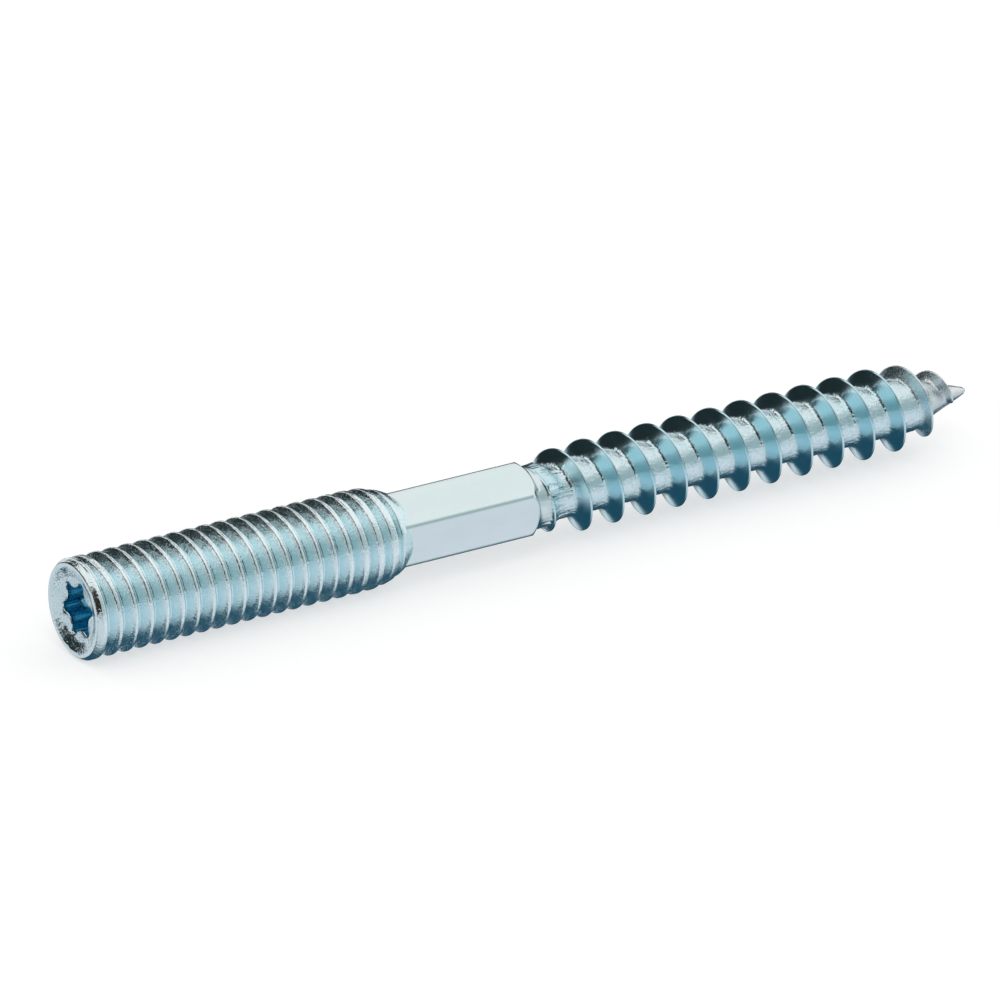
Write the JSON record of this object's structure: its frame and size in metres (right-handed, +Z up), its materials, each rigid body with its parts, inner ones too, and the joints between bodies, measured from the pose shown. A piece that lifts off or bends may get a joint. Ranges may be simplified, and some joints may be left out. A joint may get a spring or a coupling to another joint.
{
  "type": "hanger bolt",
  "caption": "Hanger bolt with a metric machine thread, a hexalobular drive recess, a hexagonal shank and a coarse pointed wood thread, in bright zinc-plated steel",
  "frame": {"origin": "centre of the drive end on the bolt's axis, in the plane of its rim", "axes": "+X along the bolt to its point, +Z up with the bolt lying on its side"},
  "size_m": [0.06, 0.0058, 0.0058],
  "materials": {
    "zinc_plated_steel": "bright zinc plating with a pale blue tint over cold-formed steel"
  },
  "bodies": {
    "root": {"hanger_bolt": "zinc_plated_steel"}
  },
  "joints": []
}
